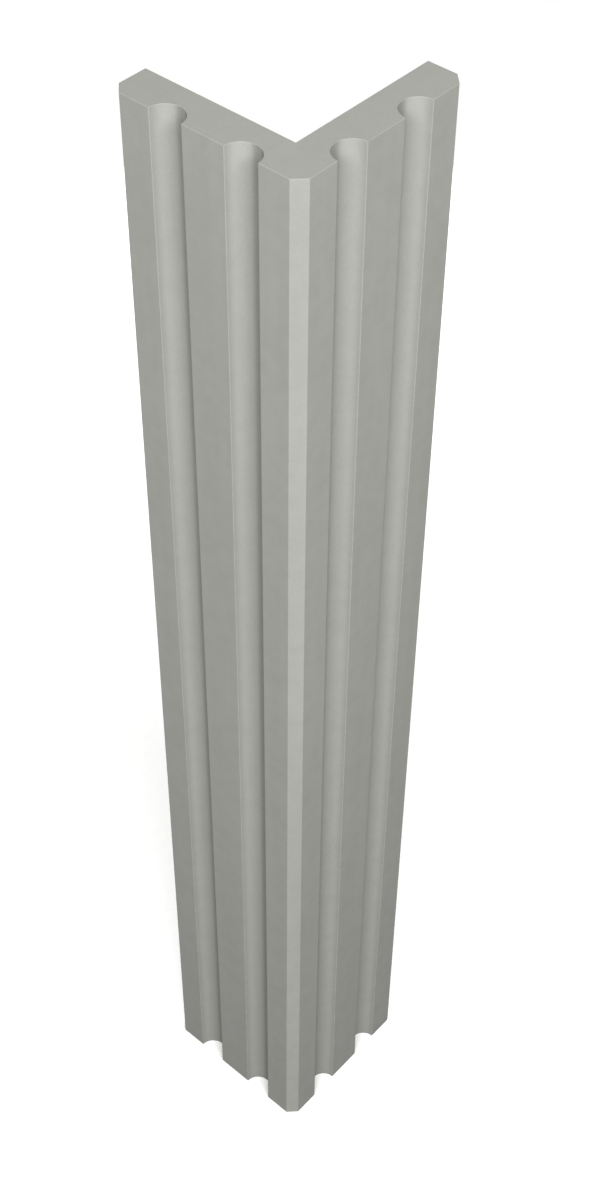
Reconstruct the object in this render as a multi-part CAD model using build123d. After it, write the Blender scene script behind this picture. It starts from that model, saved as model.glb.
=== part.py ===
from build123d import *
import os
from math import sqrt

# Precast reinforced concrete corner guard, standing on its foot, in millimetres.
# Two legs meet at a right angle. The origin is the foot of the inner corner, where the
# guarded corner stands: the left leg runs to -X, the right leg to +Y, and the nose
# between their fluted outer faces points to +X -Y. Left and right are as seen from the nose.

# Concrete body
height = 2100.0
leg_width = 300.0  # each outer face, measured from the sharp line of the nose
thickness = 60.0
nose_chamfer = 16.0
end_chamfer = 15.0
flute_radius = 26.0  # half-round, centred on the outer face
flute_places = (90.0, 210.0)  # along each leg, from the nose

# Upright reinforcing bars, between the flutes
bar_diameter = 8.0
bar_end_cover = 30.0
bar_places = {"inner": 130.0, "outer": 170.0, "end": 268.0}  # along each leg, from the nose

# Ties, bent round the corner behind the flutes and welded to every bar
tie_diameter = 6.0
tie_depth = 43.0  # centre line, from the outer face
tie_bend_radius = 15.0  # centre line
tie_end_cover = 20.0
tie_count = 14
tie_pitch = 150.0
weld_set_down = 0.5  # how far a welded bar and tie sink into each other

# Threaded fixing sockets in the back of each leg, held by a cross pin
socket_place = 150.0  # along the leg, from the nose
socket_levels = {"lower": 300.0, "upper": 1800.0}
socket_diameter = 17.0
socket_length = 42.0
thread_bore_diameter = 10.2  # tapping size of M12
thread_bore_depth = 30.0
mouth_chamfer = 1.0
pin_diameter = 8.0
pin_length = 80.0
pin_depth = 36.0  # pin's centre line, from the socket's mouth

# Spacers that keep the cage off the back face
spacer_foot = 14.0
spacer_taper = 16.0  # degrees, wider towards the cage
spacer_places = (90.0, 225.0)  # along each leg, from the nose
spacer_ties = (1, 6, 12)  # the ties they are on, counted from 0 at the foot

bar_radius = bar_diameter / 2
tie_radius = tie_diameter / 2
bar_depth = tie_depth - tie_radius - bar_radius + weld_set_down
sides = ("left", "right")


# A point on one leg: how far along it from the nose, how deep behind its outer face, how high.
def on_leg(side, along, depth, level=0.0):
    if side == "left":
        return Vector(thickness - along, depth - thickness, level)
    return Vector(thickness - depth, along - thickness, level)


# The direction from a leg's back face into the concrete.
def into_back(side):
    return Vector(0, -1, 0) if side == "left" else Vector(1, 0, 0)


def corner_section():
    tip = leg_width - thickness
    inside_arris = thickness - end_chamfer
    outline = Polyline(
        (0, 0),
        (-tip, 0),
        (-tip, -inside_arris),
        (end_chamfer - tip, -thickness),
        (thickness - nose_chamfer, -thickness),
        (thickness, nose_chamfer - thickness),
        (thickness, tip - end_chamfer),
        (inside_arris, tip),
        (0, tip),
        close=True,
    )
    return make_face(outline)


def flute(side, place):
    return Pos(on_leg(side, place, 0)) * Circle(flute_radius)


def upright_bar(x, y):
    length = height - 2 * bar_end_cover
    return Pos(x, y, bar_end_cover + length / 2) * Cylinder(bar_radius, length)


# The nose bar lies on the outside of the ties' bend, on the line from nose to inner corner.
def nose_bar():
    bend_centre = tie_depth + tie_bend_radius
    reach = tie_bend_radius + tie_radius + bar_radius - weld_set_down
    place = on_leg("left", bend_centre - reach / sqrt(2), bend_centre - reach / sqrt(2))
    return upright_bar(place.X, place.Y)


def leg_bar(side, along):
    place = on_leg(side, along, bar_depth)
    return upright_bar(place.X, place.Y)


# One tie at level 0, before the bars sink into it.
def plain_tie():
    reach = leg_width - tie_end_cover
    start = on_leg("left", reach, tie_depth)
    corner = on_leg("left", tie_depth, tie_depth)
    finish = on_leg("right", reach, tie_depth)
    path = FilletPolyline(start, corner, finish, radius=tie_bend_radius)
    return sweep(Plane(origin=start, z_dir=path % 0) * Circle(tie_radius), path=path)


def tie_level(index):
    lowest = (height - (tie_count - 1) * tie_pitch) / 2
    return lowest + index * tie_pitch


def cross_pin(side, level):
    place = on_leg(side, socket_place, thickness - pin_depth, level)
    return Pos(place) * Cylinder(pin_diameter / 2, pin_length)


# The whole room that a socket takes in the concrete.
def socket_blank(side, level):
    mouth = on_leg(side, socket_place, thickness, level)
    return extrude(Plane(origin=mouth, z_dir=into_back(side)) * Circle(socket_diameter / 2), socket_length)


def threaded_socket(side, level):
    mouth = on_leg(side, socket_place, thickness, level)
    face = Plane(origin=mouth, z_dir=into_back(side))
    bore_radius = thread_bore_diameter / 2
    bore = extrude(face * Circle(bore_radius), thread_bore_depth)
    lead_in = face * Pos(0, 0, mouth_chamfer / 2) * Cone(bore_radius + mouth_chamfer, bore_radius, mouth_chamfer)
    return socket_blank(side, level) - bore - lead_in - cross_pin(side, level)


# A tapered block whose foot is in the back face and whose head sits half round a tie.
def spacer_blank(side, place, level):
    foot = Plane(origin=on_leg(side, place, thickness, level), z_dir=into_back(side))
    return extrude(foot * Rectangle(spacer_foot, spacer_foot), thickness - tie_depth, taper=-spacer_taper)


def each_spacer(side):
    return [(place, tie_level(index)) for index in spacer_ties for place in spacer_places]


def spacers(side, tie):
    return Compound([
        spacer_blank(side, place, level) - Pos(0, 0, level) * tie for place, level in each_spacer(side)
    ])


def concrete_body(embedded):
    section = corner_section()
    section -= [flute(side, place) for side in sides for place in flute_places]
    return extrude(section, height) - embedded


bars = {"nose_bar": nose_bar()}
for side in sides:
    for name, along in bar_places.items():
        bars[f"{side}_{name}_bar"] = leg_bar(side, along)

nodes = dict(bars)
embedded = list(bars.values())

tie = plain_tie()
for index in range(tie_count):
    tie_in_place = Pos(0, 0, tie_level(index)) * tie
    nodes[f"tie_{index + 1:02d}"] = tie_in_place - list(bars.values())
    embedded.append(tie_in_place)

for side in sides:
    for name, level in socket_levels.items():
        nodes[f"{side}_{name}_socket"] = threaded_socket(side, level)
        nodes[f"{side}_{name}_anchor_pin"] = cross_pin(side, level)
        embedded += [socket_blank(side, level), cross_pin(side, level)]
    nodes[f"{side}_spacers"] = spacers(side, tie)
    embedded += [spacer_blank(side, place, level) for place, level in each_spacer(side)]

nodes["concrete_body"] = concrete_body(embedded)

for name, shape in nodes.items():
    shape.label = name
    export_step(shape, f"parts/{name}.step")
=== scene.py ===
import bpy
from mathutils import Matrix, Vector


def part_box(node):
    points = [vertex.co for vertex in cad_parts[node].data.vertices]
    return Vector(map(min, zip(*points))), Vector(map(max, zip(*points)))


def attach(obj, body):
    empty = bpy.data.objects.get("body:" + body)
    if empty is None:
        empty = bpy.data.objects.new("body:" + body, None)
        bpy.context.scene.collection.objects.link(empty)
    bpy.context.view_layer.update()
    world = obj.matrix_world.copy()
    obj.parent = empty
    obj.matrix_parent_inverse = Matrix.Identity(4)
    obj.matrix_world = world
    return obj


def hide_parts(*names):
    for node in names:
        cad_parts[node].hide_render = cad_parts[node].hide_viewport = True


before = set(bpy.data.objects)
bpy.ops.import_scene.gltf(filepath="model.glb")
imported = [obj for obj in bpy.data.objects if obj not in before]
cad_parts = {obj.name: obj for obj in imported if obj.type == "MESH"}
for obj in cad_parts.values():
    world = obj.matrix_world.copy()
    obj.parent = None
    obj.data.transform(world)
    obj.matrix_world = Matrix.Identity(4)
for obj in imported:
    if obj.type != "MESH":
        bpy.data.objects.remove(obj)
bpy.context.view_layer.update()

import math
import bmesh
import bpy
from mathutils import Matrix, Vector

scene = bpy.context.scene
scene.view_settings.view_transform = "Standard"
print("frame loaded:", len(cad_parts), "nodes")

# The guard as the frame gives it. Its inner corner stands on the origin, the left leg runs to
# -X and the right leg to +Y, so the line x = -y mirrors one leg onto the other.
bodyLow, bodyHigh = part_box("concrete_body")
thickness = bodyHigh.x
legWidth = bodyHigh.x - bodyLow.x
height = bodyHigh.z
up = Vector((0, 0, 1))
noiseRange = {"From Min": 0.3, "From Max": 0.7}   # where most of a noise pattern's values lie


def hexToLinear(hexColour):
    channels = [int(hexColour[i:i + 2], 16) / 255 for i in (1, 3, 5)]
    return [c / 12.92 if c <= 0.04045 else ((c + 0.055) / 1.055) ** 2.4 for c in channels] + [1.0]


# Adds a node. An input given a socket is linked to it, and any other value is set on it.
def addNode(tree, kind, inputs=None, **settings):
    node = tree.nodes.new(kind)
    for name, value in settings.items():
        setattr(node, name, value)
    for key, value in (inputs or {}).items():
        if isinstance(value, bpy.types.NodeSocket):
            tree.links.new(value, node.inputs[key])
        else:
            node.inputs[key].default_value = value
    return node


def addObject(name, data):
    made = bpy.data.objects.new(name, data)
    scene.collection.objects.link(made)
    return made


def newMaterial(name):
    material = bpy.data.materials.new(name)
    material.use_nodes = True
    material.node_tree.nodes.clear()
    return material, material.node_tree


# A Geometry Nodes tree with named inputs. Gives the tree and the outputs of its input node.
def newTree(name, sockets):
    tree = bpy.data.node_groups.new(name, "GeometryNodeTree")
    tree.interface.new_socket("Geometry", in_out="INPUT", socket_type="NodeSocketGeometry")
    tree.interface.new_socket("Geometry", in_out="OUTPUT", socket_type="NodeSocketGeometry")
    for label, kind in sockets.items():
        tree.interface.new_socket(label, in_out="INPUT", socket_type="NodeSocket" + kind)
    return tree, addNode(tree, "NodeGroupInput").outputs


def evaluatedMesh(carrier):
    return bpy.data.meshes.new_from_object(carrier.evaluated_get(bpy.context.evaluated_depsgraph_get()))


def meshFromTree(carrier, tree, values):
    modifier = carrier.modifiers.new(tree.name, "NODES")
    modifier.node_group = tree
    for item in tree.interface.items_tree:
        if item.in_out == "INPUT" and item.name in values:
            modifier[item.identifier] = values[item.name]
    mesh = evaluatedMesh(carrier)
    carrier.modifiers.remove(modifier)
    return mesh


sliver = 1e-7   # edges shorter than this go


# Cuts solids out of a piece, which stays closed. This leaves slivers, and only their shortest
# edges are dropped, because dropping more opens the mesh.
def cutAway(target, cutters):
    holder = bpy.data.collections.new("cutters")
    for cutter in cutters:
        holder.objects.link(cutter)
    modifier = target.modifiers.new("cut", "BOOLEAN")
    modifier.operation = "DIFFERENCE"
    modifier.solver = "MANIFOLD"
    modifier.operand_type = "COLLECTION"
    modifier.collection = holder
    mesh = evaluatedMesh(target)
    target.modifiers.remove(modifier)
    work = bmesh.new()
    work.from_mesh(mesh)
    bmesh.ops.dissolve_degenerate(work, dist=sliver, edges=work.edges)
    work.to_mesh(mesh)
    work.free()
    target.data = mesh
    for cutter in cutters:
        bpy.data.objects.remove(cutter)
    bpy.data.collections.remove(holder)


levelCosine = 0.9999


# Smooth shading that breaks at edges turning by more than this, and round level faces.
def shadeSmooth(mesh, degrees):
    work = bmesh.new()
    work.from_mesh(mesh)
    for face in work.faces:
        face.smooth = True
    for edge in work.edges:
        level = [abs(face.normal.z) > levelCosine for face in edge.link_faces]
        edge.smooth = all(level) == any(level) and edge.calc_face_angle(0) < math.radians(degrees)
    work.to_mesh(mesh)
    work.free()


# A closed solid through rings of points, with flat ends.
def solidFromRings(name, rings):
    work = bmesh.new()
    loops = [[work.verts.new(point) for point in ring] for ring in rings]
    count = len(loops[0])
    for lower, upper in zip(loops, loops[1:]):
        for i in range(count):
            j = (i + 1) % count
            work.faces.new((lower[i], lower[j], upper[j], upper[i]))
    work.faces.new(loops[0][::-1])
    work.faces.new(loops[-1])
    if work.calc_volume(signed=True) < 0:
        bmesh.ops.reverse_faces(work, faces=work.faces)
    mesh = bpy.data.meshes.new(name)
    work.to_mesh(mesh)
    work.free()
    return addObject(name, mesh)


# A turned solid, from stations of (distance along its axis, radius). A radius may change round
# the axis: then it is a function of the share of a turn.
def turned(name, start, axis, stations, sides):
    side = axis.orthogonal().normalized()
    across = axis.cross(side)
    rings = []
    for distance, radius in stations:
        ring = []
        for i in range(sides):
            share = i / sides
            reach = radius(share) if callable(radius) else radius
            ray = math.cos(2 * math.pi * share) * side + math.sin(2 * math.pi * share) * across
            ring.append(start + axis * distance + ray * reach)
        rings.append(ring)
    return solidFromRings(name, rings)


# A line of edges through points, which carry the given attributes. A cyclic line is closed.
def polyline(name, points, attributes, cyclic):
    mesh = bpy.data.meshes.new(name)
    edges = [(i, i + 1) for i in range(len(points) - 1)]
    if cyclic:
        edges.append((len(points) - 1, 0))
    mesh.from_pydata(points, edges, [])
    for label, values in attributes.items():
        vector = isinstance(values[0], Vector)
        layer = mesh.attributes.new(label, "FLOAT_VECTOR" if vector else "FLOAT", "POINT")
        for item, value in zip(layer.data, values):
            if vector:
                item.vector = value
            else:
                item.value = value
    return addObject(name, mesh)


# The piece stands in for one CAD node, which is hidden, and hangs from the root body.
def finish(piece, node):
    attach(piece, "root")
    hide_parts(node)


# Out from the object, level with the floor for an elevation of 0. Azimuth 0 is -Y and 90 is +X.
def towards(azimuth, elevation):
    a, e = math.radians(azimuth), math.radians(elevation)
    return Vector((math.sin(a) * math.cos(e), -math.cos(a) * math.cos(e), math.sin(e)))


# Held well above the top on the nose side, looking down at the upper half.
cameraSetup = {
    "azimuth": 41.18,
    "elevation": 46.13,
    "roll": 0.49,
    "aim": (0.0605, -0.0596, 1.4478),
    "distance": 2.5256,
    "lens": 56.4,
}


def makeCamera():
    data = bpy.data.cameras.new("camera")
    data.lens = cameraSetup["lens"]
    camera = addObject("camera", data)
    back = towards(cameraSetup["azimuth"], cameraSetup["elevation"])
    camera.location = Vector(cameraSetup["aim"]) + back * cameraSetup["distance"]
    facing = (-back).to_track_quat("-Z", "Y").to_matrix()
    roll = Matrix.Rotation(math.radians(cameraSetup["roll"]), 3, "Z")
    camera.rotation_euler = (facing @ roll).to_euler()
    scene.camera = camera


# A far soft box on the nose side shapes the flutes and fades a little towards the foot. A lower
# one behind shows the back faces, and the room adds a little from everywhere.
lightSetup = {
    "aim": (0.0, 0.0, 1.5),
    "boxes": {
        "noseBox": {
            "azimuth": 45.0, "elevation": 38.0, "distance": 7.3,
            "width": 8.0, "height": 2.5, "watts": 1200.0},
        "backBox": {
            "azimuth": 214.0, "elevation": 6.0, "distance": 7.0,
            "width": 3.0, "height": 2.0, "watts": 640.0},
    },
    "room": 0.05,
}


def makeLight():
    for name, box in lightSetup["boxes"].items():
        data = bpy.data.lights.new(name, "AREA")
        data.shape = "RECTANGLE"
        data.size = box["width"]
        data.size_y = box["height"]
        data.energy = box["watts"]
        lamp = addObject(name, data)
        back = towards(box["azimuth"], box["elevation"])
        lamp.location = Vector(lightSetup["aim"]) + back * box["distance"]
        lamp.rotation_euler = (-back).to_track_quat("-Z", "Y").to_euler()
        lamp.visible_camera = False

    world = bpy.data.worlds.new("white room")
    scene.world = world
    world.use_nodes = True
    tree = world.node_tree
    tree.nodes.clear()
    seen = addNode(tree, "ShaderNodeLightPath").outputs["Is Camera Ray"]
    white = hexToLinear("#ffffff")
    fill = addNode(tree, "ShaderNodeBackground", {"Color": white, "Strength": lightSetup["room"]})
    wall = addNode(tree, "ShaderNodeBackground", {"Color": white, "Strength": 1.0})
    both = addNode(tree, "ShaderNodeMixShader", {0: seen, 1: fill.outputs[0], 2: wall.outputs[0]})
    addNode(tree, "ShaderNodeOutputWorld", {"Surface": both.outputs[0]})


# Matt white paper, with a faint grain. It gives the object no light back from below.
floorSetup = {
    "white": "#fbfbfa",
    "shade": "#f5f5f4",
    "grain": 60.0,           # per metre
    "radius": 3.2,
    "sides": 96,
}


def makeFloor():
    material, tree = newMaterial("matt white backdrop paper")
    place = addNode(tree, "ShaderNodeTexCoord").outputs["Object"]
    grain = addNode(tree, "ShaderNodeTexNoise", {
        "Vector": place, "Scale": floorSetup["grain"], "Detail": 3.0})
    tone = addNode(tree, "ShaderNodeMix", {
        "Factor": grain.outputs["Fac"], 6: hexToLinear(floorSetup["white"]),
        7: hexToLinear(floorSetup["shade"])}, data_type="RGBA")
    shader = addNode(tree, "ShaderNodeBsdfPrincipled", {
        "Base Color": tone.outputs[2], "Roughness": 0.9})
    addNode(tree, "ShaderNodeOutputMaterial", {"Surface": shader.outputs[0]})
    radius, sides = floorSetup["radius"], floorSetup["sides"]
    turns = [2 * math.pi * i / sides for i in range(sides)]
    rim = [(radius * math.cos(t), radius * math.sin(t), 0) for t in turns]
    mesh = bpy.data.meshes.new("floor")
    mesh.from_pydata(rim, [], [range(sides)])
    mesh.materials.append(material)
    floor = addObject("floor", mesh)
    floor.visible_diffuse = False
    floor.visible_glossy = False


makeCamera()
makeLight()
makeFloor()
print("camera, light and floor set")

# Fair-faced precast concrete from a smooth mould: matt warm grey, faintly clouded where the
# paste settled, with the lightest of upright streaks from the release oil.
concrete = {
    "pale": "#979892",
    "dark": "#93948e",
    "worn": "#a8a8a3",
    "wornShare": 0.1,  # how much of the worn colour shows along an arris
    "shadedFlutes": 0.8,    # of its brightness where the flutes' painted shade is full
    "cloud": 0.14,     # metres across, for each pattern below
    "mottle": 0.022,
    "streak": 0.018,
    "streakDraw": 0.03,
    "sand": 0.0025,    # the real sand is under 1 mm, drawn this coarse so that it shows
    "sandShade": 0.03, # either way, as a share of the brightness
    "tones": (1.15, 1.85),   # of the three patterns' sum, from all dark to all pale
    "roughness": (0.76, 0.9),
    "mottleDepth": 0.0005,
    "sandDepth": 0.0002,
}


def castConcrete():
    material, tree = newMaterial("fair-faced cast concrete")
    place = addNode(tree, "ShaderNodeTexCoord").outputs["Object"]
    cloud = addNode(tree, "ShaderNodeTexNoise", {
        "Vector": place, "Scale": 1 / concrete["cloud"], "Detail": 4.0})
    mottle = addNode(tree, "ShaderNodeTexNoise", {
        "Vector": place, "Scale": 1 / concrete["mottle"], "Detail": 5.0})
    drawn = addNode(tree, "ShaderNodeMapping", {
        "Vector": place, "Scale": (1.0, 1.0, concrete["streakDraw"])})
    streak = addNode(tree, "ShaderNodeTexNoise", {
        "Vector": drawn.outputs[0], "Scale": 1 / concrete["streak"], "Detail": 3.0})
    sand = addNode(tree, "ShaderNodeTexNoise", {
        "Vector": place, "Scale": 1 / concrete["sand"], "Detail": 2.0})

    half = addNode(tree, "ShaderNodeMath", {
        0: cloud.outputs["Fac"], 1: mottle.outputs["Fac"]}, operation="ADD")
    whole = addNode(tree, "ShaderNodeMath", {
        0: half.outputs[0], 1: streak.outputs["Fac"]}, operation="ADD")
    share = addNode(tree, "ShaderNodeMapRange", {
        "Value": whole.outputs[0], "From Min": concrete["tones"][0], "From Max": concrete["tones"][1]})
    paste = addNode(tree, "ShaderNodeMix", {
        "Factor": share.outputs[0], 6: hexToLinear(concrete["dark"]), 7: hexToLinear(concrete["pale"])},
        data_type="RGBA")
    grain = addNode(tree, "ShaderNodeMapRange", {
        "Value": sand.outputs["Fac"], **noiseRange,
        "To Min": 1 - concrete["sandShade"], "To Max": 1 + concrete["sandShade"]})
    sanded = addNode(tree, "ShaderNodeVectorMath", {0: paste.outputs[2], 1: grain.outputs[0]},
                     operation="MULTIPLY")
    # Painted shade: darker at the flutes' bottoms and faintly along their lips, patchy with the cloud
    # pattern.
    shadeMask = addNode(tree, "ShaderNodeAttribute", attribute_name="stain")
    patchy = addNode(tree, "ShaderNodeMath", {0: cloud.outputs["Fac"], 1: 0.5}, operation="ADD")
    patchyShade = addNode(tree, "ShaderNodeMath", {0: shadeMask.outputs["Fac"], 1: patchy.outputs[0]},
                   operation="MULTIPLY")
    shadeFactor = addNode(tree, "ShaderNodeMapRange", {
        "Value": patchyShade.outputs[0], "To Min": 1.0, "To Max": concrete["shadedFlutes"]})
    shadedFlutes = addNode(tree, "ShaderNodeVectorMath", {0: sanded.outputs[0], 1: shadeFactor.outputs[0]},
                      operation="MULTIPLY")
    rubbed = addNode(tree, "ShaderNodeAttribute", attribute_name="arris")
    rubbedShare = addNode(tree, "ShaderNodeMath", {0: rubbed.outputs["Fac"], 1: concrete["wornShare"]},
                          operation="MULTIPLY")
    colour = addNode(tree, "ShaderNodeMix", {
        "Factor": rubbedShare.outputs[0], 6: shadedFlutes.outputs[0], 7: hexToLinear(concrete["worn"])},
        data_type="RGBA")
    rough = addNode(tree, "ShaderNodeMapRange", {
        "Value": mottle.outputs["Fac"], **noiseRange,
        "To Min": concrete["roughness"][0], "To Max": concrete["roughness"][1]})
    skin = addNode(tree, "ShaderNodeBump", {
        "Height": mottle.outputs["Fac"], "Strength": 0.2, "Distance": concrete["mottleDepth"]})
    fine = addNode(tree, "ShaderNodeBump", {
        "Height": sand.outputs["Fac"], "Strength": 0.25, "Distance": concrete["sandDepth"],
        "Normal": skin.outputs[0]})
    shader = addNode(tree, "ShaderNodeBsdfPrincipled", {
        "Base Color": colour.outputs[2], "Roughness": rough.outputs[0], "IOR": 1.5,
        "Normal": fine.outputs[0]})
    addNode(tree, "ShaderNodeOutputMaterial", {"Surface": shader.outputs[0]})
    return material


body = {
    "noseChamfer": 0.016,
    "endChamfer": 0.015,
    "fluteRadius": 0.026,
    "flutePlaces": (0.210, 0.090),   # along each leg, from the nose
    "arris": 0.0008,                 # the mould leaves every upright edge this round
    "rim": 0.0005,                   # and the foot and top this round
    "arrisSteps": 4,
    "fluteSteps": 40,
    "shadeFull": 0.05,               # from a flute's middle line, the share of its radius where the painted shade of its bottom is full, and where it ends and where the fainter painted shade along its lips starts
    "shadeEnd": 0.35,                # the stain of its bottom is full, and where it ends
    "lipShadeStart": 0.85,                # and where the fainter stain along its lips starts
    "lipShadeStrength": 0.3,
    "margin": 0.0012,                # a narrow strip beside each edge keeps the faces flat
    "spacing": 0.02,                 # between the points of a flat stretch
    "rowSpacing": 0.025,
    "waviness": 0.0002,
    "waveSize": 0.35,
    "smoothAngle": 30,
}


def rayAt(degrees):
    return Vector((math.cos(math.radians(degrees)), math.sin(math.radians(degrees))))


def easedShare(value, low, high):
    share = min(1.0, max(0.0, (value - low) / (high - low)))
    return share * share * (3 - 2 * share)


# How much painted shade a flute gets, at a share of its radius from its middle line.
def fluteShadeAt(share):
    return max(easedShare(share, body["shadeEnd"], body["shadeFull"]),
               body["lipShadeStrength"] * easedShare(share, body["lipShadeStart"], 1.0))


# A stretch of arc. Side 1 is a rounded edge, and side -1 is a flute, seen from inside it.
def arcRun(centre, radius, start, stop, steps, side):
    run = []
    for i in range(steps + 1):
        ray = rayAt(start + (stop - start) * i / steps)
        worn = math.sin(math.pi * i / steps) if side > 0 else 0.0
        # Painted shade, deepest at the flute's bottom and faint along its lips.
        stain = fluteShadeAt(abs(ray.x)) if side < 0 else 0.0
        run.append((centre + radius * ray, side * ray, worn, stain))
    return run


def roundedCorner(corner, start, stop):
    before, after = rayAt(start), rayAt(stop)
    centre = Vector(corner) - (before + after) * body["arris"] / (1 + before.dot(after))
    return arcRun(centre, body["arris"], start, stop, body["arrisSteps"], 1)


def fluteRun(middle):
    radius, arris = body["fluteRadius"], body["arris"]
    reach = math.sqrt((radius + arris) ** 2 - arris ** 2)
    lean = math.degrees(math.atan2(arris, reach))
    centre = Vector((middle, -thickness))
    lips = [centre + Vector((side * reach, arris)) for side in (-1, 1)]
    before = arcRun(lips[0], arris, -90, -lean, body["arrisSteps"], 1)
    hollow = arcRun(centre, radius, 180 - lean, lean, body["fluteSteps"], -1)
    after = arcRun(lips[1], arris, 180 + lean, 270, body["arrisSteps"], 1)
    return before[:-1] + hollow + after[1:]


# Half the outline: from the inner corner along the left leg's back, round its end, and along
# its fluted face to the middle of the nose. Each point has its place, outward way, wear and
# painted shade.
def halfOutline():
    tip, face = thickness - legWidth, -thickness
    nose, end = body["noseChamfer"], body["endChamfer"]
    runs = [[(Vector((0, 0)), Vector((-1, 1)), 0.0, 0.0)],
            roundedCorner((tip, 0), 90, 180),
            roundedCorner((tip, face + end), 180, 225),
            roundedCorner((tip + end, face), 225, 270)]
    runs += [fluteRun(thickness - place) for place in body["flutePlaces"]]
    runs.append(roundedCorner((thickness - nose, face), -90, -45))
    runs.append([(Vector((thickness - nose / 2, face + nose / 2)), rayAt(-45), 0.0, 0.0)])
    outline = list(runs[0])
    for run in runs[1:]:
        start, stop = outline[-1][0], run[0][0]
        ahead = (stop - start).normalized() * body["margin"]
        first, last = start + ahead, stop - ahead
        pieces = max(1, round((last - first).length / body["spacing"]))
        outline += [(first.lerp(last, i / pieces), run[0][1], 0.0, 0.0) for i in range(pieces + 1)]
        outline += run
    return outline


def wholeOutline():
    half = halfOutline()
    other = [(Vector((-p.y, -p.x)), Vector((-n.y, -n.x)), *skin) for p, n, *skin in half[1:-1]]
    return half + other[::-1]


# The rows from foot to top: how high, how far the outline is drawn in there, and the wear.
def castRows():
    rim, steps, margin = body["rim"], body["arrisSteps"], body["margin"]
    turns = [math.pi / 2 * i / steps for i in range(steps + 1)]
    foot = [(rim * (1 - math.sin(t)), rim * (1 - math.cos(t)), math.sin(2 * t)) for t in turns[::-1]]
    first, last = rim + margin, height - rim - margin
    count = round((last - first) / body["rowSpacing"])
    shaft = [(first + (last - first) * i / count, 0.0, 0.0) for i in range(count + 1)]
    top = [(height - level, inset, worn) for level, inset, worn in foot[::-1]]
    return foot + shaft + top


# Sweeps the outline up the rows, draws it in at the rounded foot and top, and lets the faces
# wander inwards by a hair, as a mould does.
def castTree():
    tree, given = newTree("castBody", {
        "Rows": "Object", "Rim": "Float", "Waviness": "Float", "Wave size": "Float",
        "Material": "Material"})
    outline = addNode(tree, "GeometryNodeMeshToCurve", {"Mesh": given["Geometry"]})
    rows = addNode(tree, "GeometryNodeObjectInfo", {"Object": given["Rows"]})
    spine = addNode(tree, "GeometryNodeMeshToCurve", {"Mesh": rows.outputs["Geometry"]})
    swept = addNode(tree, "GeometryNodeCurveToMesh", {
        "Curve": spine.outputs[0], "Profile Curve": outline.outputs[0], "Fill Caps": True})
    place = addNode(tree, "GeometryNodeInputNamedAttribute", {
        "Name": "place"}, data_type="FLOAT_VECTOR")
    outward = addNode(tree, "GeometryNodeInputNamedAttribute", {
        "Name": "outward"}, data_type="FLOAT_VECTOR")
    level = addNode(tree, "GeometryNodeInputNamedAttribute", {"Name": "level"})
    inset = addNode(tree, "GeometryNodeInputNamedAttribute", {"Name": "inset"})
    worn = addNode(tree, "GeometryNodeInputNamedAttribute", {"Name": "worn"})
    rowWorn = addNode(tree, "GeometryNodeInputNamedAttribute", {"Name": "rowWorn"})
    lift = addNode(tree, "ShaderNodeCombineXYZ", {"Z": level.outputs[0]})
    raised = addNode(tree, "ShaderNodeVectorMath", {
        0: place.outputs[0], 1: lift.outputs[0]}, operation="ADD")
    perMetre = addNode(tree, "ShaderNodeMath", {0: 1.0, 1: given["Wave size"]}, operation="DIVIDE")
    wave = addNode(tree, "ShaderNodeTexNoise", {
        "Vector": raised.outputs[0], "Scale": perMetre.outputs[0], "Detail": 2.0})
    sway = addNode(tree, "ShaderNodeMath", {
        0: wave.outputs["Fac"], 1: given["Waviness"]}, operation="MULTIPLY")
    drawIn = addNode(tree, "ShaderNodeMath", {0: sway.outputs[0], 1: inset.outputs[0]}, operation="ADD")
    inwards = addNode(tree, "ShaderNodeMath", {0: drawIn.outputs[0], 1: -1.0}, operation="MULTIPLY")
    shift = addNode(tree, "ShaderNodeVectorMath", {0: outward.outputs[0], "Scale": inwards.outputs[0]},
                    operation="SCALE")
    spot = addNode(tree, "ShaderNodeVectorMath", {
        0: raised.outputs[0], 1: shift.outputs[0]}, operation="ADD")
    placed = addNode(tree, "GeometryNodeSetPosition", {
        "Geometry": swept.outputs[0], "Position": spot.outputs[0]})
    # The flutes' painted shade, which fades out at the rounded foot and top as the wear does.
    stain = addNode(tree, "GeometryNodeInputNamedAttribute", {"Name": "stain"})
    kept = addNode(tree, "ShaderNodeMapRange", {
        "Value": inset.outputs[0], "From Max": given["Rim"], "To Min": 1.0, "To Max": 0.0})
    keptWorn = addNode(tree, "ShaderNodeMath", {
        0: worn.outputs[0], 1: kept.outputs[0]}, operation="MULTIPLY")
    keptShade = addNode(tree, "ShaderNodeMath", {0: stain.outputs[0], 1: kept.outputs[0]},
                        operation="MULTIPLY")
    wear = addNode(tree, "ShaderNodeMath", {0: keptWorn.outputs[0], 1: rowWorn.outputs[0]},
                   operation="MAXIMUM")
    withWear = addNode(tree, "GeometryNodeStoreNamedAttribute", {
        "Geometry": placed.outputs[0], "Name": "arris", "Value": wear.outputs[0]})
    withShade = addNode(tree, "GeometryNodeStoreNamedAttribute", {
        "Geometry": withWear.outputs[0], "Name": "stain", "Value": keptShade.outputs[0]})
    real = addNode(tree, "GeometryNodeRealizeInstances", {"Geometry": withShade.outputs[0]})
    finished = addNode(tree, "GeometryNodeSetMaterial", {
        "Geometry": real.outputs[0], "Material": given["Material"]})
    addNode(tree, "NodeGroupOutput", {"Geometry": finished.outputs[0]})
    return tree


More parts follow.
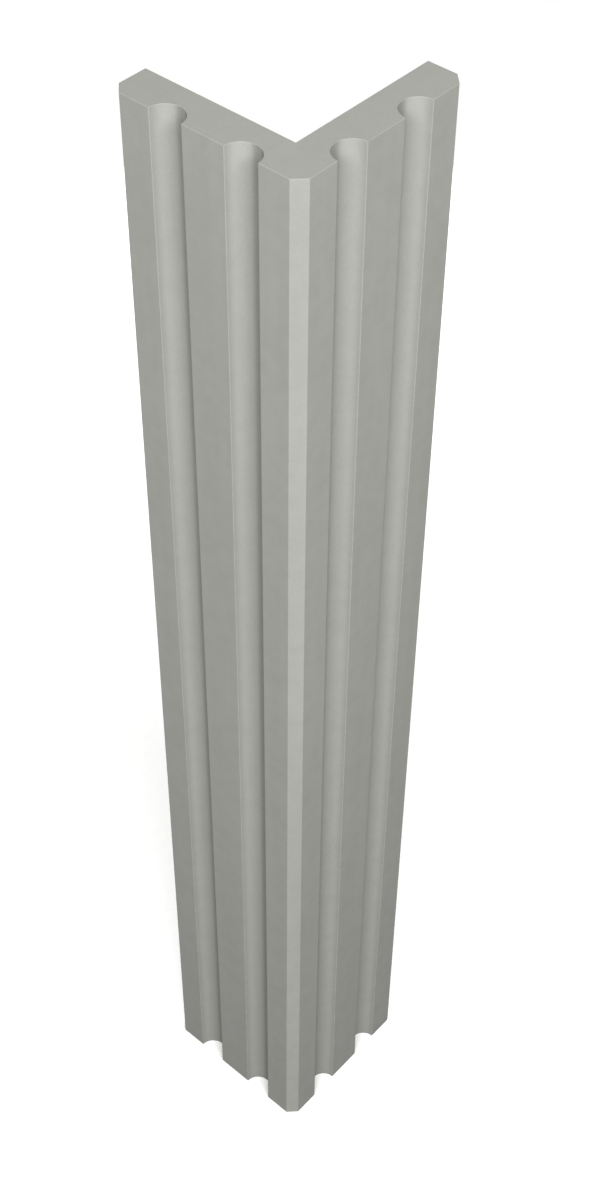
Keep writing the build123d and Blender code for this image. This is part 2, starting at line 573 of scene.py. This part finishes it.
def makeBody():
    places, outward, worn, stain = zip(*wholeOutline())
    places = [place.to_3d() for place in places]
    section = polyline("section", places, {
        "place": places, "outward": [way.to_3d() for way in outward],
        "worn": worn, "stain": stain}, True)
    levels = castRows()
    spine = polyline("rows", [(0, 0, level) for level, _, _ in levels], {
        "level": [level for level, _, _ in levels],
        "inset": [inset for _, inset, _ in levels],
        "rowWorn": [worn for _, _, worn in levels]}, False)
    mesh = meshFromTree(section, castTree(), {
        "Rows": spine, "Rim": body["rim"], "Waviness": body["waviness"], "Wave size": body["waveSize"],
        "Material": castConcrete()})
    for helper in (section, spine):
        bpy.data.objects.remove(helper)
    return addObject("concrete_casting", mesh)


casting = makeBody()
print("body cast:", len(casting.data.polygons), "faces")

# Air holes: small pits where bubbles sat against the mould, as on any cast face.
airHoles = {
    "perSquareMetre": 45.0,
    "apart": 0.015,
    "smallest": 0.0004,      # radius
    "largest": 0.0009,
    "seed": 7,
    "steepest": 0.5,         # only on faces whose normals rise or fall by less than this
}


def airHoleTree():
    tree, given = newTree("airHoles", {
        "Per square metre": "Float", "Apart": "Float", "Smallest": "Float", "Largest": "Float",
        "Seed": "Int"})
    normal = addNode(tree, "GeometryNodeInputNormal")
    upright = addNode(tree, "ShaderNodeSeparateXYZ", {0: normal.outputs[0]})
    tilt = addNode(tree, "ShaderNodeMath", {0: upright.outputs["Z"]}, operation="ABSOLUTE")
    side = addNode(tree, "FunctionNodeCompare", {
        0: tilt.outputs[0], 1: airHoles["steepest"]}, operation="LESS_THAN")
    spots = addNode(tree, "GeometryNodeDistributePointsOnFaces", {
        "Mesh": given["Geometry"], "Selection": side.outputs[0], "Distance Min": given["Apart"],
        "Density Max": given["Per square metre"], "Seed": given["Seed"]}, distribute_method="POISSON")
    size = addNode(tree, "FunctionNodeRandomValue", {
        2: given["Smallest"], 3: given["Largest"], "Seed": given["Seed"]}, data_type="FLOAT")
    bubble = addNode(tree, "GeometryNodeMeshIcoSphere", {"Radius": 1.0, "Subdivisions": 2})
    placed = addNode(tree, "GeometryNodeInstanceOnPoints", {
        "Points": spots.outputs["Points"], "Instance": bubble.outputs[0], "Scale": size.outputs[1]})
    real = addNode(tree, "GeometryNodeRealizeInstances", {"Geometry": placed.outputs[0]})
    addNode(tree, "NodeGroupOutput", {"Geometry": real.outputs[0]})
    return tree


def makeAirHoles():
    mesh = meshFromTree(casting, airHoleTree(), {
        "Per square metre": airHoles["perSquareMetre"], "Apart": airHoles["apart"],
        "Smallest": airHoles["smallest"], "Largest": airHoles["largest"], "Seed": airHoles["seed"]})
    return addObject("cutter", mesh)


bubbles = makeAirHoles()
print("air holes placed:", len(bubbles.data.polygons), "faces")

# Ribbed reinforcing bar: a slimmer core with leaning ribs round both sides, which run out at the
# two seams that the rolls leave.
reinforcement = {
    "ribHeight": 0.035,      # share of the bar's diameter
    "ribSpacing": 0.7,       # the same
    "ribLean": 0.3,          # the same
    "rowsPerRib": 4,
    "sides": 12,
    "crest": (0.2, 0.4),     # of half a rib spacing, where a rib rises
    "runOut": (0.2, 0.7),    # away from the seams, where a rib rises from nothing
    "seam": (0.05, 0.3),     # away from the seams, where the seam falls to nothing
    "seamHeight": 0.8,       # share of a rib's
    "tieBend": 0.015,        # to the centre line
    "bendStep": 7.5,         # degrees
    "cutterSides": 24,
    "smoothAngle": 60,
}

# Hot-rolled reinforcing steel: dull dark grey mill scale with patches of thin brown rust, and a
# rub of paler metal along the tops of the ribs.
steel = {
    "scale": "#55524f",
    "rust": "#77492f",
    "rubbed": "#8b8884",
    "patch": 0.018,          # metres across
    "speck": 0.0025,
}


def hotRolledSteel():
    material, tree = newMaterial("hot-rolled reinforcing steel")
    place = addNode(tree, "ShaderNodeTexCoord").outputs["Object"]
    patch = addNode(tree, "ShaderNodeTexNoise", {
        "Vector": place, "Scale": 1 / steel["patch"], "Detail": 5.0})
    speck = addNode(tree, "ShaderNodeTexNoise", {
        "Vector": place, "Scale": 1 / steel["speck"], "Detail": 3.0})
    rib = addNode(tree, "ShaderNodeAttribute", attribute_name="rib").outputs["Fac"]
    both = addNode(tree, "ShaderNodeMath", {
        0: patch.outputs["Fac"], 1: speck.outputs["Fac"]}, operation="ADD")
    rusted = addNode(tree, "ShaderNodeMapRange", {
        "Value": both.outputs[0], "From Min": 0.9, "From Max": 1.15})
    bare = addNode(tree, "ShaderNodeMix", {
        "Factor": rib, 6: hexToLinear(steel["scale"]), 7: hexToLinear(steel["rubbed"])}, data_type="RGBA")
    colour = addNode(tree, "ShaderNodeMix", {
        "Factor": rusted.outputs[0], 6: bare.outputs[2], 7: hexToLinear(steel["rust"])}, data_type="RGBA")
    metal = addNode(tree, "ShaderNodeMapRange", {
        "Value": rusted.outputs[0], "To Min": 0.85, "To Max": 0.0})
    rough = addNode(tree, "ShaderNodeMapRange", {
        "Value": rusted.outputs[0], "To Min": 0.48, "To Max": 0.88})
    pitted = addNode(tree, "ShaderNodeBump", {
        "Height": speck.outputs["Fac"], "Strength": 0.4, "Distance": 0.0001})
    shader = addNode(tree, "ShaderNodeBsdfPrincipled", {
        "Base Color": colour.outputs[2], "Metallic": metal.outputs[0], "Roughness": rough.outputs[0],
        "Normal": pitted.outputs[0]})
    addNode(tree, "ShaderNodeOutputMaterial", {"Surface": shader.outputs[0]})
    return material


# Sweeps a ribbed bar along a path. The radius is that of the rib tops.
def ribbedBarTree():
    tree, given = newTree("ribbedBar", {
        "Radius": "Float", "Rib height": "Float", "Rib spacing": "Float", "Rib lean": "Float",
        "Rows per rib": "Int", "Sides": "Int", "Material": "Material"})
    step = addNode(tree, "ShaderNodeMath", {
        0: given["Rib spacing"], 1: given["Rows per rib"]}, operation="DIVIDE")
    path = addNode(tree, "GeometryNodeMeshToCurve", {"Mesh": given["Geometry"]})
    rows = addNode(tree, "GeometryNodeResampleCurve", {
        "Curve": path.outputs[0], "Length": step.outputs[0]}, mode="LENGTH")
    middle = addNode(tree, "GeometryNodeInputPosition")
    middled = addNode(tree, "GeometryNodeStoreNamedAttribute", {
        "Geometry": rows.outputs[0], "Name": "middle", "Value": middle.outputs[0]},
        data_type="FLOAT_VECTOR")
    run = addNode(tree, "GeometryNodeSplineParameter")
    measured = addNode(tree, "GeometryNodeStoreNamedAttribute", {
        "Geometry": middled.outputs[0], "Name": "run", "Value": run.outputs["Length"]})

    circle = addNode(tree, "GeometryNodeCurvePrimitiveCircle", {
        "Resolution": given["Sides"], "Radius": given["Radius"]})
    share = addNode(tree, "GeometryNodeSplineParameter")
    turnShare = addNode(tree, "ShaderNodeMath", {
        0: share.outputs["Factor"], 1: 2 * math.pi}, operation="MULTIPLY")
    profile = addNode(tree, "GeometryNodeStoreNamedAttribute", {
        "Geometry": circle.outputs[0], "Name": "turn", "Value": turnShare.outputs[0]})
    tube = addNode(tree, "GeometryNodeCurveToMesh", {
        "Curve": measured.outputs[0], "Profile Curve": profile.outputs[0], "Fill Caps": True})

    core = addNode(tree, "GeometryNodeInputNamedAttribute", {
        "Name": "middle"}, data_type="FLOAT_VECTOR")
    along = addNode(tree, "GeometryNodeInputNamedAttribute", {"Name": "run"})
    turn = addNode(tree, "GeometryNodeInputNamedAttribute", {"Name": "turn"})
    sine = addNode(tree, "ShaderNodeMath", {0: turn.outputs[0]}, operation="SINE")
    flank = addNode(tree, "ShaderNodeMath", {0: sine.outputs[0]}, operation="ABSOLUTE")
    cosine = addNode(tree, "ShaderNodeMath", {0: turn.outputs[0]}, operation="COSINE")
    leaned = addNode(tree, "ShaderNodeMath", {
        0: cosine.outputs[0], 1: given["Rib lean"], 2: along.outputs[0]}, operation="MULTIPLY_ADD")
    count = addNode(tree, "ShaderNodeMath", {
        0: leaned.outputs[0], 1: given["Rib spacing"]}, operation="DIVIDE")
    wave = addNode(tree, "ShaderNodeMath", {0: count.outputs[0], 1: 0.5}, operation="PINGPONG")
    rise, runOff, seamFall = reinforcement["crest"], reinforcement["runOut"], reinforcement["seam"]
    crest = addNode(tree, "ShaderNodeMapRange", {
        "Value": wave.outputs[0], "From Min": rise[0], "From Max": rise[1]})
    runOut = addNode(tree, "ShaderNodeMapRange", {
        "Value": flank.outputs[0], "From Min": runOff[0], "From Max": runOff[1]})
    crossRib = addNode(tree, "ShaderNodeMath", {
        0: crest.outputs[0], 1: runOut.outputs[0]}, operation="MULTIPLY")
    seam = addNode(tree, "ShaderNodeMapRange", {
        "Value": flank.outputs[0], "From Min": seamFall[0], "From Max": seamFall[1],
        "To Min": reinforcement["seamHeight"], "To Max": 0.0})
    rib = addNode(tree, "ShaderNodeMath", {
        0: crossRib.outputs[0], 1: seam.outputs[0]}, operation="MAXIMUM")

    position = addNode(tree, "GeometryNodeInputPosition")
    ray = addNode(tree, "ShaderNodeVectorMath", {
        0: position.outputs[0], 1: core.outputs[0]}, operation="SUBTRACT")
    unit = addNode(tree, "ShaderNodeVectorMath", {0: ray.outputs[0]}, operation="NORMALIZE")
    low = addNode(tree, "ShaderNodeMath", {
        0: given["Radius"], 1: given["Rib height"]}, operation="SUBTRACT")
    reach = addNode(tree, "ShaderNodeMath", {
        0: rib.outputs[0], 1: given["Rib height"], 2: low.outputs[0]}, operation="MULTIPLY_ADD")
    out = addNode(tree, "ShaderNodeVectorMath", {
        0: unit.outputs[0], "Scale": reach.outputs[0]}, operation="SCALE")
    spot = addNode(tree, "ShaderNodeVectorMath", {
        0: core.outputs[0], 1: out.outputs[0]}, operation="ADD")
    shaped = addNode(tree, "GeometryNodeSetPosition", {
        "Geometry": tube.outputs[0], "Position": spot.outputs[0]})
    marked = addNode(tree, "GeometryNodeStoreNamedAttribute", {
        "Geometry": shaped.outputs[0], "Name": "rib", "Value": rib.outputs[0]})
    real = addNode(tree, "GeometryNodeRealizeInstances", {"Geometry": marked.outputs[0]})
    finished = addNode(tree, "GeometryNodeSetMaterial", {
        "Geometry": real.outputs[0], "Material": given["Material"]})
    addNode(tree, "NodeGroupOutput", {"Geometry": finished.outputs[0]})
    return tree


def ribbedBar(path, radius, tree, material):
    carrier = polyline("barPath", path, {}, False)
    mesh = meshFromTree(carrier, tree, {
        "Radius": radius, "Rib height": 2 * radius * reinforcement["ribHeight"],
        "Rib spacing": 2 * radius * reinforcement["ribSpacing"],
        "Rib lean": 2 * radius * reinforcement["ribLean"],
        "Rows per rib": reinforcement["rowsPerRib"], "Sides": reinforcement["sides"],
        "Material": material})
    bpy.data.objects.remove(carrier)
    shadeSmooth(mesh, reinforcement["smoothAngle"])
    return mesh


# Where a bar starts and ends, and its radius.
def barPath(node):
    low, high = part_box(node)
    middle = (low + high) / 2
    foot, head = (Vector((middle.x, middle.y, level)) for level in (low.z, high.z))
    return [foot, head], (high.x - low.x) / 2


# A tie's centre line: along the left leg, round the nose, along the right leg.
def tiePath(node):
    low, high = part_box(node)
    radius = (high.z - low.z) / 2
    level, bend = (low.z + high.z) / 2, reinforcement["tieBend"]
    lineY, lineX = low.y + radius, high.x - radius
    centre = Vector((lineX - bend, lineY + bend, level))
    steps = round(90 / reinforcement["bendStep"])
    corner = [centre + bend * rayAt(90 * i / steps - 90).to_3d() for i in range(steps + 1)]
    return [Vector((low.x, lineY, level))] + corner + [Vector((lineX, high.y, level))], radius


def makeReinforcement():
    tree, material = ribbedBarTree(), hotRolledSteel()
    cutters = []
    bars = sorted(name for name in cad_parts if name.endswith("_bar"))
    for node in bars:
        path, radius = barPath(node)
        piece = addObject(node + "_ribbed", ribbedBar(path, radius, tree, material))
        finish(piece, node)
        cutters.append(sweptCutter(path, radius))
    ties = sorted(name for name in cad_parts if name.startswith("tie_"))
    firstPath, radius = tiePath(ties[0])
    first = ribbedBar(firstPath, radius, tree, material)
    for node in ties:
        path, radius = tiePath(node)
        mesh = first.copy()
        mesh.transform(Matrix.Translation(path[0] - firstPath[0]))
        finish(addObject(node + "_ribbed", mesh), node)
        cutters.append(sweptCutter(path, radius))
    bpy.data.meshes.remove(first)
    return cutters


# The room that a bar takes in the concrete, as a plain round rod. A bar is upright or level.
def sweptCutter(path, radius):
    upright = up if path[0].z == path[-1].z else Vector((0, 1, 0))
    sides = reinforcement["cutterSides"]
    turns = [2 * math.pi * i / sides for i in range(sides)]
    rings = []
    for index, point in enumerate(path):
        ahead = (path[min(index + 1, len(path) - 1)] - path[max(index - 1, 0)]).normalized()
        side = ahead.cross(upright)
        rings.append([point + radius * (math.cos(t) * side + math.sin(t) * upright) for t in turns])
    return solidFromRings("cutter", rings)


rooms = makeReinforcement()
print("bars and ties ribbed:", len(rooms))

# Fixing sockets for M12 bolts: a turned sleeve with a real thread in its mouth, and a cross pin
# through its blind end that anchors it in the concrete.
socket = {
    "bore": 0.0051,          # radius at the thread's crests
    "root": 0.0060,
    "pitch": 0.00175,
    "threadDepth": 0.030,
    "mouthChamfer": 0.001,
    "edge": 0.0003,
    "rowsPerPitch": 8,
    "sides": 48,
    "pinChamfer": 0.0006,
    "runOut": 0.0005,        # of plain bore past the thread's end
    "crestFlat": 0.125,      # of the pitch
    "flank": 0.7,            # the same
    "proud": 0.005,          # how far the cutters start outside the concrete
    "clearance": 0.0001,
    "smoothAngle": 25,
}

# Zinc-plated turned steel: bright blue-grey metal, softly blotched by the passivated zinc, with
# the fine roughness that turning leaves.
zinc = {
    "bright": "#bcc1c6",
    "dull": "#9aa0a4",
    "blotch": 0.004,
    "grain": 0.0004,         # turning marks are about 0.1 mm apart, drawn as a coarser, even grain
}


def zincPlatedSteel():
    material, tree = newMaterial("zinc-plated turned steel")
    place = addNode(tree, "ShaderNodeTexCoord").outputs["Object"]
    blotch = addNode(tree, "ShaderNodeTexNoise", {
        "Vector": place, "Scale": 1 / zinc["blotch"], "Detail": 4.0})
    grain = addNode(tree, "ShaderNodeTexNoise", {
        "Vector": place, "Scale": 1 / zinc["grain"], "Detail": 2.0})
    colour = addNode(tree, "ShaderNodeMix", {
        "Factor": blotch.outputs["Fac"], 6: hexToLinear(zinc["dull"]), 7: hexToLinear(zinc["bright"])},
        data_type="RGBA")
    rough = addNode(tree, "ShaderNodeMapRange", {
        "Value": blotch.outputs["Fac"], **noiseRange, "To Min": 0.42, "To Max": 0.3})
    cut = addNode(tree, "ShaderNodeBump", {
        "Height": grain.outputs["Fac"], "Strength": 0.2, "Distance": 0.00005})
    shader = addNode(tree, "ShaderNodeBsdfPrincipled", {
        "Base Color": colour.outputs[2], "Metallic": 1.0, "Roughness": rough.outputs[0],
        "Normal": cut.outputs[0]})
    addNode(tree, "ShaderNodeOutputMaterial", {"Surface": shader.outputs[0]})
    return material


# The thread's radius at one depth, as a function of the share of a turn.
def threadAt(depth):
    fadeOut = min(1.0, max(0.0, (socket["threadDepth"] - socket["runOut"] - depth) / socket["pitch"]))

    def radius(share):
        wave = abs(2 * ((depth / socket["pitch"] - share) % 1.0) - 1)
        groove = min(1.0, max(0.0, (wave - socket["crestFlat"]) / socket["flank"])) * fadeOut
        cut = socket["bore"] + (socket["root"] - socket["bore"]) * groove
        return max(cut, socket["bore"] + socket["mouthChamfer"] - depth)
    return radius


# Where a socket's mouth is, the way into the concrete, and the socket's length and radius.
def socketPlace(node):
    low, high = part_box(node)
    middle, radius = (low + high) / 2, (high.z - low.z) / 2
    if node.startswith("left"):
        return Vector((middle.x, high.y, middle.z)), Vector((0, -1, 0)), high.y - low.y, radius
    return Vector((low.x, middle.y, middle.z)), Vector((1, 0, 0)), high.x - low.x, radius


# A cross pin's foot, length and radius.
def pinPlace(node):
    low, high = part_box(node)
    middle = (low + high) / 2
    return Vector((middle.x, middle.y, low.z)), high.z - low.z, (high.x - low.x) / 2


def finishTurned(piece, node, material):
    piece.data.materials.clear()
    piece.data.materials.append(material)
    shadeSmooth(piece.data, socket["smoothAngle"])
    finish(piece, node)


# Makes a sleeve and its cross pin, and gives the rooms that they take in the concrete.
def makeSocket(node, material):
    mouth, inwards, length, outer = socketPlace(node)
    edge, depth, sides = socket["edge"], socket["threadDepth"], socket["sides"]
    rows = round(depth / socket["pitch"] * socket["rowsPerPitch"])
    stations = [(length, outer - edge), (length - edge, outer), (edge, outer), (0.0, outer - edge)]
    stations += [(depth * i / rows, threadAt(depth * i / rows)) for i in range(rows + 1)]
    sleeve = turned(node + "_sleeve", mouth, inwards, stations, sides)

    pinNode = node.replace("_socket", "_anchor_pin")
    foot, pinLength, pinRadius = pinPlace(pinNode)
    chamfer = socket["pinChamfer"]
    pin = turned(node.replace("_socket", "_cross_pin"), foot, up, [
        (0.0, pinRadius - chamfer), (chamfer, pinRadius),
        (pinLength - chamfer, pinRadius), (pinLength, pinRadius - chamfer)], sides)
    cutAway(sleeve, [turned("cutter", foot, up, [(0.0, pinRadius), (pinLength, pinRadius)], sides)])
    finishTurned(sleeve, node, material)
    finishTurned(pin, pinNode, material)

    sleeveEnds = [(-socket["proud"], outer), (length, outer)]
    pinEnds = [(-socket["clearance"], pinRadius), (pinLength + socket["clearance"], pinRadius)]
    return [turned("cutter", mouth, inwards, sleeveEnds, sides),
            turned("cutter", foot, up, pinEnds, reinforcement["cutterSides"])]


zincSteel = zincPlatedSteel()
for node in sorted(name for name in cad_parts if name.endswith("_socket")):
    rooms += makeSocket(node, zincSteel)
print("sockets threaded and pinned")

# Spacers that hold the cage off the mould: small tapered blocks, wider at the head than at the
# foot, which shows in the back face.
spacers = {
    "foot": 0.014,
    "taper": 16.0,           # degrees
    "depth": 0.017,
    "places": (0.090, 0.225),   # along each leg, from the nose
    "ties": ("tie_02", "tie_07", "tie_13"),
    "proud": 0.001,
}

# Extruded fibre concrete: denser and a shade paler than the cast concrete round it, with short
# pale fibres drawn out in the surface.
fibre = {
    "paste": "#a5a49d",
    "pale": "#b2b1a9",
    "thread": "#c4c2ba",
    "fibreWidth": 0.0012,    # real fibres are under 0.1 mm, drawn this coarse to show
    "mottle": 0.006,
}


def fibreConcrete():
    material, tree = newMaterial("extruded fibre concrete")
    place = addNode(tree, "ShaderNodeTexCoord").outputs["Object"]
    mottle = addNode(tree, "ShaderNodeTexNoise", {
        "Vector": place, "Scale": 1 / fibre["mottle"], "Detail": 5.0})
    drawn = addNode(tree, "ShaderNodeMapping", {
        "Vector": place, "Rotation": (0.5, 0.3, 0.6), "Scale": (1.0, 1.0, 0.12)})
    strand = addNode(tree, "ShaderNodeTexNoise", {
        "Vector": drawn.outputs[0], "Scale": 1 / fibre["fibreWidth"], "Detail": 1.0})
    base = addNode(tree, "ShaderNodeMix", {
        "Factor": mottle.outputs["Fac"], 6: hexToLinear(fibre["paste"]), 7: hexToLinear(fibre["pale"])},
        data_type="RGBA")
    share = addNode(tree, "ShaderNodeMapRange", {
        "Value": strand.outputs["Fac"], "From Min": 0.62, "From Max": 0.72, "To Max": 0.6})
    colour = addNode(tree, "ShaderNodeMix", {
        "Factor": share.outputs[0], 6: base.outputs[2], 7: hexToLinear(fibre["thread"])}, data_type="RGBA")
    rough = addNode(tree, "ShaderNodeMapRange", {
        "Value": mottle.outputs["Fac"], "To Min": 0.75, "To Max": 0.9})
    drag = addNode(tree, "ShaderNodeBump", {
        "Height": strand.outputs["Fac"], "Strength": 0.35, "Distance": 0.0003})
    shader = addNode(tree, "ShaderNodeBsdfPrincipled", {
        "Base Color": colour.outputs[2], "Roughness": rough.outputs[0], "IOR": 1.5,
        "Normal": drag.outputs[0]})
    addNode(tree, "ShaderNodeOutputMaterial", {"Surface": shader.outputs[0]})
    return material


# The foot of each leg's back face, this far along from the nose, and the way into the concrete.
def backPlaces(along):
    return ((Vector((thickness - along, 0, 0)), Vector((0, -1, 0))),
            (Vector((0, along - thickness, 0)), Vector((1, 0, 0))))


# The tapered room of each spacer, from just outside the back face to the tie's centre line.
def spacerRooms():
    grow = math.tan(math.radians(spacers["taper"]))
    stations = [(-spacers["proud"], spacers["foot"] / 2 - spacers["proud"] * grow),
                (spacers["depth"], spacers["foot"] / 2 + spacers["depth"] * grow)]
    corners = ((-1, -1), (1, -1), (1, 1), (-1, 1))
    cutters = []
    for tie in spacers["ties"]:
        low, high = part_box(tie)
        level = up * (low.z + high.z) / 2
        for place in spacers["places"]:
            for start, inwards in backPlaces(place):
                foot, across = start + level, inwards.cross(up)
                rings = [[foot + inwards * depth + across * a * half + up * b * half for a, b in corners]
                         for depth, half in stations]
                cutters.append(solidFromRings("cutter", rings))
    return cutters


rooms += spacerRooms()
fibreBlocks = fibreConcrete()
for node in ("left_spacers", "right_spacers"):
    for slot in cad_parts[node].material_slots:
        slot.material = fibreBlocks
print("spacers finished")

cutAway(casting, rooms + [bubbles])
print("rooms cut:", len(casting.data.polygons), "faces")

shadeSmooth(casting.data, body["smoothAngle"])
finish(casting, "concrete_body")
print("casting finished")
